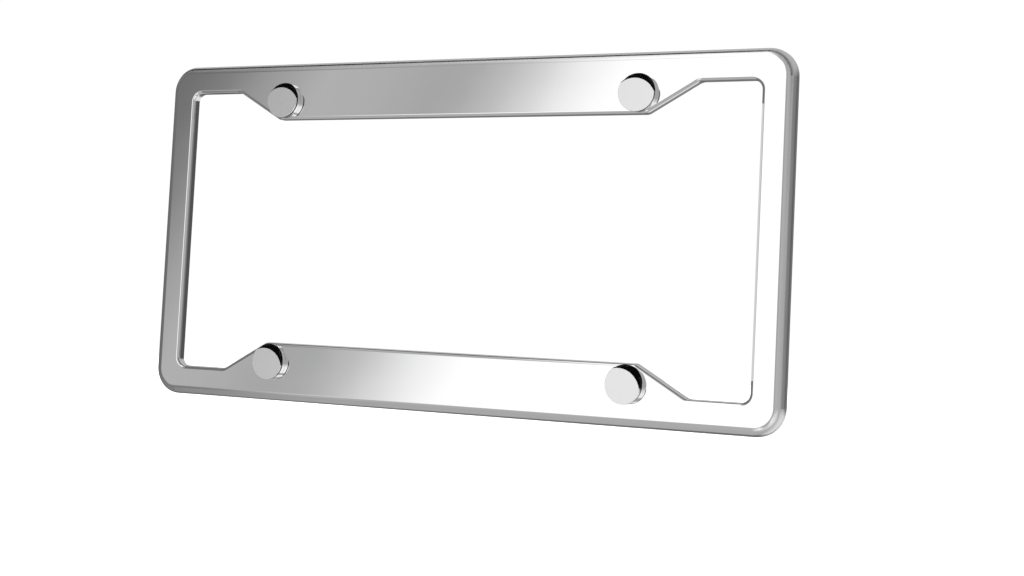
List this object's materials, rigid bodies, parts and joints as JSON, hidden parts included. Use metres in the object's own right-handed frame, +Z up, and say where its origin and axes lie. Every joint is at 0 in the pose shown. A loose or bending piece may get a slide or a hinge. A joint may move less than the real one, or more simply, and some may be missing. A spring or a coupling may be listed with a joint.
{
  "type": "number plate holder",
  "caption": "Polished steel number plate holder: a pressed rectangular frame with folded flanges, slanted corner steps and chrome caps over its mounting screws.",
  "frame": {"origin": "centre of the screw pattern, in the plane where the number plate lies against the rear edge of the inner flange", "axes": "+X along the holder's length, +Z up, +Y backwards towards the vehicle along the screws; the polished face looks along -Y"},
  "size_m": [0.312, 0.0188, 0.156],
  "materials": {
    "polished_steel": "mirror polished stainless steel",
    "cap_chrome": "bright chrome plating",
    "ring_black": "black moulded nylon",
    "screw_steel": "zinc plated steel"
  },
  "bodies": {
    "root": {"plate_frame": "polished_steel", "screw_upper_left": "screw_steel", "screw_upper_right": "screw_steel", "screw_lower_left": "screw_steel", "screw_lower_right": "screw_steel", "cap_base_upper_left": "ring_black", "cap_base_upper_right": "ring_black", "cap_base_lower_left": "ring_black", "cap_base_lower_right": "ring_black", "screw_cap_upper_left": "cap_chrome", "screw_cap_upper_right": "cap_chrome", "screw_cap_lower_left": "cap_chrome", "screw_cap_lower_right": "cap_chrome"}
  },
  "joints": []
}
